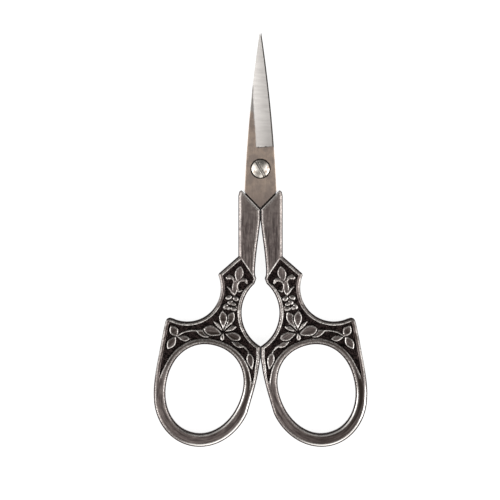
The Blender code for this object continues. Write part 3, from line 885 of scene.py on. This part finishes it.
def make_blades(satin):
    outline = blade_outline()
    bore = circle(BORE_RADIUS, 64)
    seat = [circle(COUNTERBORE_RADIUS - wall, 96) for wall in (0, SEAT_WALL)]
    points, faces = triangles([outline, bore], blade_creases(outline), BLADE_PITCH, seat)
    plain_face, ground = blade_surface(points, outline)
    radius = np.hypot(*points.T)
    seated_face = np.where(radius < COUNTERBORE_RADIUS - SEAT_WALL / 2, COUNTERBORE_FLOOR, plain_face)
    # Painted shade along the V and over the tang, and in the counterbore round the head
    plain_shade = 1 - ease(-v_depth(points), 0.0, V_SHADE)
    seat_shade = 1 - ease(radius, COUNTERBORE_RADIUS, COUNTERBORE_RADIUS + SEAT_SHADE)
    seated_shade = np.maximum(plain_shade, seat_shade)
    # Painted shade beside the back, on the inner face
    half_width = blade_half_width(points[:, 1])
    from_back = (points[:, 0] + half_width) / np.clip(half_width / SPINE_NARROWS_AT, SPINE_LEAST, 1)
    spine_shade = 1 - ease(from_back, *SPINE_WIDTH)
    tang = v_depth(points) > TANG_STEP
    inner = np.where(tang, TANG_LOW, BLADE_LOW)
    none = np.zeros(len(points))
    for name, node, body, side, face, painted_shade in (
            ("blade_front", "front_blade", "front_half", 1, seated_face, seated_shade),
            ("blade_rear", "rear_blade", "rear_half", -1, plain_face, plain_shade)):
        outer = np.where(tang, TANG_HIGH, face)
        upper, lower = (outer, inner) if side > 0 else (-inner, -outer)
        mesh = slab_mesh(name, points * (side, 1), faces[:, ::side], upper, lower)
        give(mesh, "ground", *(ground, none)[::side])
        give(mesh, "spine_shade", *(none, spine_shade)[::side])
        give(mesh, "painted_shade", painted_shade)
        mesh.materials.append(satin)
        piece(name, mesh, body, node)


# Screw


def make_screw(bright):
    head = circle(HEAD_RADIUS, 128)
    neck = [circle(NECK_RADIUS - wall, 96) for wall in (0, NECK_WALL)]
    lean = math.radians(SLOT_ANGLE)
    across = np.array((-math.sin(lean), math.cos(lean)))
    along = np.array((math.cos(lean), math.sin(lean)))
    reach = HEAD_RADIUS + 1
    half = SLOT_WIDTH / 2
    slot = np.array([along * reach + across * half, -along * reach + across * half,
                     -along * reach - across * half, along * reach - across * half])
    creases = [(slot, (0.0, SLOT_WALL, -SLOT_LIP)), (head, (HEAD_EDGE,))]
    points, faces = triangles([head], creases, SCREW_PITCH, neck)
    radius = np.hypot(*points.T)
    in_slot = half - np.abs(points @ across)
    top = HEAD_HIGH - HEAD_DOME * (radius / HEAD_RADIUS) ** 2
    top -= HEAD_EDGE_DROP * (1 - np.clip((HEAD_RADIUS - radius) / HEAD_EDGE, 0, 1)) ** EDGE_POWER
    top -= (SLOT_DEPTH + SLOT_LIP_DROP) * ease(in_slot, 0.0, SLOT_WALL)
    top = np.maximum(top, HEAD_LOW + SLOT_LAND)
    top -= SLOT_LIP_DROP * (1 - np.clip(-in_slot / SLOT_LIP, 0, 1)) * (in_slot < 0)
    bottom = np.where(radius < NECK_RADIUS - NECK_WALL / 2, NECK_END, HEAD_LOW)
    mesh = slab_mesh("screw", points, faces, top, bottom)
    # Painted shade along the slot's walls and round the head's rim, and a painted dark reflection in
    # two wedges
    slot_shade = SLOT_SHADE * ease(in_slot, *SLOT_SHADE_START)
    slot_shade *= 1 - SLOT_FLOOR_LESS_SHADE * ease(in_slot, *SLOT_FLOOR)
    rim_shade = ease(radius, HEAD_RADIUS - HEAD_EDGE, HEAD_RADIUS - HEAD_EDGE / 3)
    turn = 2 * (np.arctan2(points[:, 1], points[:, 0]) - math.radians(PAINTED_REFLECTION_ANGLE))
    painted_reflection = PAINTED_REFLECTION * ease(np.cos(turn), *PAINTED_REFLECTION_SPREAD) * ease(radius, *PAINTED_REFLECTION_START)
    painted_screw_shade = np.maximum(np.maximum(slot_shade, rim_shade), painted_reflection)
    give(mesh, "painted_screw_shade", painted_screw_shade, np.zeros(len(points)))
    mesh.materials.append(bright)
    piece("screw", mesh, "rear_half", "pivot_screw")


# Materials


class Nodes:
    """A node tree, with short ways to add nodes and links."""

    def __init__(self, tree):
        self.tree = tree

    def put(self, kind, settings=None, **inputs):
        made = self.tree.nodes.new(kind)
        for key, value in (settings or {}).items():
            setattr(made, key, value)
        for key, value in inputs.items():
            self.feed(made.inputs[key.replace("_", " ")], value)
        return made

    def feed(self, socket, value):
        if isinstance(value, bpy.types.NodeSocket):
            self.tree.links.new(value, socket)
        else:
            socket.default_value = value

    def math(self, operation, a, b=0.0, clamp=False):
        made = self.put("ShaderNodeMath", {"operation": operation, "use_clamp": clamp})
        self.feed(made.inputs[0], a)
        self.feed(made.inputs[1], b)
        return made.outputs[0]

    def span(self, value, low, high, to_low=0.0, to_high=1.0):
        """Goes smoothly from one number to another as a value goes from low to high."""
        made = self.put("ShaderNodeMapRange", {"interpolation_type": "SMOOTHSTEP"}, Value=value,
                        From_Min=low, From_Max=high, To_Min=to_low, To_Max=to_high)
        return made.outputs["Result"]


class Shade(Nodes):
    """A material, with short ways to add what its shader reads."""

    def __init__(self, name, metallic=0.0):
        self.material = bpy.data.materials.new(name)
        self.material.use_nodes = True
        super().__init__(self.material.node_tree)
        self.shader = self.tree.nodes["Principled BSDF"]
        self.shader.inputs["Metallic"].default_value = metallic

    def number(self, name):
        return self.put("ShaderNodeAttribute", {"attribute_name": name}).outputs["Fac"]

    def place(self, scale=(1, 1, 1)):
        """The piece's own coordinates in millimetres, stretched by a scale."""
        own = self.put("ShaderNodeTexCoord").outputs["Object"]
        return self.put("ShaderNodeMapping", Vector=own, Scale=tuple(s / MM for s in scale)).outputs[0]

    def rise(self):
        """Height over the pivot in millimetres, towards the tips."""
        height = self.put("ShaderNodeSeparateXYZ", Vector=self.place()).outputs["Y"]
        return self.math("SUBTRACT", height, PIVOT.y)

    def noise(self, scale, detail, roughness=0.55, over=None):
        made = self.put("ShaderNodeTexNoise", Vector=self.place() if over is None else over,
                        Scale=scale, Detail=detail, Roughness=roughness)
        return made.outputs["Fac"]

    def mix(self, share, a, b):
        made = self.put("ShaderNodeMix", {"data_type": "RGBA"}, Factor=share)
        self.feed(made.inputs[6], (*a, 1) if isinstance(a, tuple) else a)
        self.feed(made.inputs[7], (*b, 1) if isinstance(b, tuple) else b)
        return made.outputs[2]

    def vectors(self, operation, a, b=(0, 0, 0)):
        made = self.put("ShaderNodeVectorMath", {"operation": operation})
        self.feed(made.inputs[0], a)
        self.feed(made.inputs[1], b)
        return made.outputs

    def surface(self, colour, roughness, texture, strength, depth):
        """Joins the colour and the roughness to the shader, with a texture as bumps of a depth."""
        bump = self.put("ShaderNodeBump", Height=texture, Strength=strength, Distance=depth * MM)
        self.feed(self.shader.inputs["Base Color"], colour)
        self.feed(self.shader.inputs["Roughness"], roughness)
        self.feed(self.shader.inputs["Normal"], bump.outputs["Normal"])
        return self.material


def alloy_body(shade, streaks, clouds, mottle):
    """The bare metal: streaked by polishing, lighter up the shanks, tarnished on the bows, less on one
    side.
    """
    body = shade.mix(shade.span(streaks, 0.3, 0.7), *ALLOY)
    body = shade.mix(shade.span(shade.rise(), *SHANK_LIGHTENS, 0.0, 0.6), body, SHANK_ALLOY)
    body = shade.mix(shade.span(mottle, 0.4, 0.7, 0.0, 0.6), body, DULL_ALLOY)
    # Less tarnish on one side of each bow
    darker_side = shade.span(shade.number("lighter_side"), 0.0, 1.0, 1.1, 0.1)
    tarnish = shade.math("MULTIPLY", shade.span(clouds, 0.4, 0.6, 0.9, 0.3), darker_side)
    return shade.mix(shade.math("MULTIPLY", tarnish, shade.number("bow")), body, TARNISH)


def upright(shade):
    """How upright a face stands. The walls get half the painted shade, halfway between body and black.
    """
    normal = shade.put("ShaderNodeNewGeometry").outputs["True Normal"]
    facing = shade.put("ShaderNodeSeparateXYZ", Vector=normal).outputs["Z"]
    return shade.span(shade.math("ABSOLUTE", facing), *WALL_FACING, 1.0, 0.0)


def antiqued_alloy():
    """Cast alloy, blackened and polished back: dark in the recesses and bright on the ridges."""
    shade = Shade("antiqued_alloy", metallic=1.0)
    relief = shade.number("relief")
    ridge = shade.number("ridge")
    wear_and_highlight = shade.number("wear_and_highlight")
    flow = shade.put("ShaderNodeAttribute", {"attribute_name": "flow"}).outputs["Vector"]
    streaks = shade.noise(2.4, 4.0, 0.6, over=flow)
    clouds = shade.noise(0.9, 2.0, 0.5, over=flow)
    mottle = shade.noise(0.9, 4.0)
    specks = shade.noise(2.6, 3.0)
    grain = shade.noise(9.0, 2.0)
    body = alloy_body(shade, streaks, clouds, mottle)
    black = shade.mix(shade.span(specks, 0.38, 0.68), *BLACKENING)
    colour = shade.mix(shade.span(relief, *FLOOR_BLACK), black, body)

    worn_and_highlit = shade.math("ADD", ridge, shade.span(grain, 0.2, 0.8, -0.012, 0.012))
    worn_and_highlit = shade.math("MULTIPLY", shade.span(worn_and_highlit, *RIDGE_WEAR), shade.span(relief, *RELIEF_WEAR))
    # The bright lines beside the edges, partly wear and partly painted highlight, whitest where
    # strongest
    worn_and_highlit = shade.math("MAXIMUM", worn_and_highlit, wear_and_highlight)
    glint = shade.mix(shade.span(specks, 0.42, 0.6), *WORN_ALLOY)
    glint = shade.mix(shade.span(wear_and_highlight, 0.8, 1.2), glint, HIGHLIGHT_ALLOY)
    patches = shade.span(clouds, 0.35, 0.65, 0.5, 1.0)
    colour = shade.mix(shade.math("MULTIPLY", worn_and_highlit, patches), colour, glint)

    colour = shade.mix(shade.span(ridge, *FOLD_BLACK), black, colour)
    # Painted shade along the edges, in the blackening colour
    colour = shade.mix(shade.number("painted_shade"), colour, black)
    # Walls: half the painted shade
    colour = shade.mix(upright(shade), colour, shade.mix(0.5, body, black))
    rough = shade.math("ADD", shade.span(worn_and_highlit, 0.0, 1.0, 0.4, 0.26),
                       shade.span(mottle, 0.3, 0.7, -0.04, 0.06))
    return shade.surface(colour, rough, grain, 0.25, 0.02)


def blade_steel():
    """Satin steel with fine lines along the blade, and the lighter cross lines of the grinding."""
    shade = Shade("blade_steel", metallic=1.0)
    ground = shade.number("ground")
    rise = shade.rise()
    along = shade.noise(6.0, 3.0, over=shade.place((1.5, 0.1, 1)))
    across = shade.noise(1.0, 4.0, over=shade.place((0.03, 1.3, 1)))
    cloud = shade.noise(0.5, 3.0)
    satin = shade.mix(shade.span(along, 0.3, 0.7), *SATIN)
    satin = shade.mix(shade.span(cloud, 0.38, 0.65, 0.0, 0.7), satin, CLOUDED_SATIN)
    satin = shade.mix(shade.span(rise, *FOOT_DARKENS, 0.7, 0.0), satin, FOOT_SATIN)
    satin = shade.mix(shade.span(rise, *UPPER_LIGHTENS, 0.0, 0.9), satin, UPPER_SATIN)
    bevel = shade.mix(shade.span(across, 0.3, 0.7), *GROUND)
    bevel = shade.mix(shade.span(rise, *HEEL_DARKENS, 0.5, 0.0), bevel, GROUND_HEEL)
    colour = shade.mix(ground, satin, bevel)
    # Painted shade beside the rear blade's back
    colour = shade.mix(shade.number("spine_shade"), colour, SPINE_SHADE)
    # Painted shade in the V and the counterbore
    colour = shade.mix(shade.number("painted_shade"), colour, STEEL_SHADE)
    rough = shade.span(ground, 0.0, 1.0, 0.36, 0.3)
    return shade.surface(colour, rough, shade.mix(ground, along, across), 0.1, 0.01)


def turned_steel():
    """Nickelled screw, with the fine rings that turning leaves."""
    shade = Shade("turned_steel", metallic=1.0)
    own = shade.put("ShaderNodeTexCoord").outputs["Object"]
    from_axis = shade.vectors("SUBTRACT", own, (PIVOT.x * MM, PIVOT.y * MM, 0))["Vector"]
    from_axis = shade.vectors("MULTIPLY", from_axis, (1 / MM, 1 / MM, 0))["Vector"]
    radius = shade.vectors("LENGTH", from_axis)["Value"]
    rings = shade.put("ShaderNodeTexNoise", {"noise_dimensions": "1D"}, W=radius, Scale=7.0, Detail=2.0)
    cloud = shade.noise(0.8, 3.0)
    colour = shade.mix(shade.span(cloud, 0.44, 0.66), *NICKEL)
    # Painted shade and painted dark reflection on the head
    colour = shade.mix(shade.number("painted_screw_shade"), colour, SCREW_SHADE)
    rough = shade.span(cloud, 0.3, 0.7, 0.2, 0.32)
    return shade.surface(colour, rough, rings.outputs["Fac"], 0.5, 0.03)


# Surroundings


def floor_finish():
    """White paper that keeps a soft shadow and looks white from the camera and in the metal."""
    shade = Shade("white_paper")
    paper = shade.shader.inputs
    paper["Base Color"].default_value = PAPER
    paper["Roughness"].default_value = 0.9
    paper["Specular IOR Level"].default_value = 0.0
    paper["Emission Color"].default_value = WHITE
    path = shade.put("ShaderNodeLightPath").outputs
    seen = shade.math("ADD", path["Is Camera Ray"], path["Is Glossy Ray"], True)
    seen = shade.math("ADD", seen, path["Is Transmission Ray"], True)
    shade.feed(paper["Emission Strength"], shade.math("MULTIPLY", seen, PAPER_GLOW))
    return shade.material


def make_floor():
    mesh = bpy.data.meshes.new("floor")
    half = FLOOR_SIZE / 2
    corners = [(-half, -half, 0), (half, -half, 0), (half, half, 0), (-half, half, 0)]
    mesh.from_pydata(corners, [], [(0, 1, 2, 3)])
    floor = bpy.data.objects.new("floor", mesh)
    bpy.context.scene.collection.objects.link(floor)
    floor.location.z = -FLOOR_DROP
    mesh.materials.append(floor_finish())


def make_world():
    """A white tent with a darker opening overhead that runs from front to back."""
    world = bpy.data.worlds.new("tent")
    bpy.context.scene.world = world
    world.use_nodes = True
    world.node_tree.nodes.clear()
    tent = Nodes(world.node_tree)
    direction = tent.put("ShaderNodeTexCoord").outputs["Generated"]
    x, y, z = tent.put("ShaderNodeSeparateXYZ", Vector=direction).outputs
    aside = tent.math("ABSOLUTE", x)
    ahead = tent.math("ABSOLUTE", y)

    sides = tent.span(aside, 0.18, 0.6, 0.0, 0.5)
    boxes = tent.math("MULTIPLY", tent.span(aside, 0.22, 0.45, 0.0, 0.45),
                      tent.span(ahead, 0.3, 0.6, 1.0, 0.0))
    low = tent.span(z, 0.25, 0.75, 0.5, 0.0)
    overhead = tent.span(ahead, 0.12, 0.4, 0.45, 0.28)
    back = tent.span(y, 0.2, 0.65, 1.0, 0.3)
    front = tent.math("MULTIPLY", tent.span(y, -0.75, -0.35, 1.1, 0.0),
                      tent.span(x, -0.5, 0.4, 0.4, 1.5))
    light = tent.math("MAXIMUM", tent.math("ADD", sides, boxes), low)
    light = tent.math("MULTIPLY", tent.math("ADD", light, overhead), back)
    light = tent.math("ADD", light, front)

    lit = tent.put("ShaderNodeBackground", Color=TENT, Strength=light)
    white = tent.put("ShaderNodeBackground", Color=WHITE)
    seen = tent.put("ShaderNodeLightPath").outputs["Is Camera Ray"]
    choose = tent.put("ShaderNodeMixShader", Fac=seen)
    tent.feed(choose.inputs[1], lit.outputs[0])
    tent.feed(choose.inputs[2], white.outputs[0])
    tent.put("ShaderNodeOutputWorld", Surface=choose.outputs[0])


def make_lamps():
    """A soft box on each side, turned to the middle."""
    for name, side in (("left_box", -1), ("right_box", 1)):
        lamp = bpy.data.lights.new(name, "AREA")
        lamp.shape = "RECTANGLE"
        lamp.size = LAMP_SIZE
        lamp.size_y = LAMP_SIZE
        lamp.energy = LAMP_POWER
        made = bpy.data.objects.new(name, lamp)
        bpy.context.scene.collection.objects.link(made)
        made.location = Vector(LAMP_PLACE) * Vector((side, 1, 1))
        made.rotation_euler = (-made.location).to_track_quat("-Z", "Y").to_euler()


def make_camera():
    camera = bpy.data.cameras.new("camera")
    camera.lens = LENS
    camera.sensor_width = SENSOR
    camera.clip_start, camera.clip_end = CLIP
    made = bpy.data.objects.new("camera", camera)
    bpy.context.scene.collection.objects.link(made)
    rise = FRAME_WIDTH * LENS / SENSOR
    middle = Vector((*FRAME_CENTRE, 0)) + PIVOT
    made.location = (middle + Vector((0, 0, rise))) * MM
    bpy.context.scene.camera = made


def main():
    scene = bpy.context.scene
    scene.view_settings.view_transform = "Standard"
    make_camera()
    make_floor()
    make_world()
    make_lamps()
    make_handles(antiqued_alloy())
    make_blades(blade_steel())
    make_screw(turned_steel())


main()
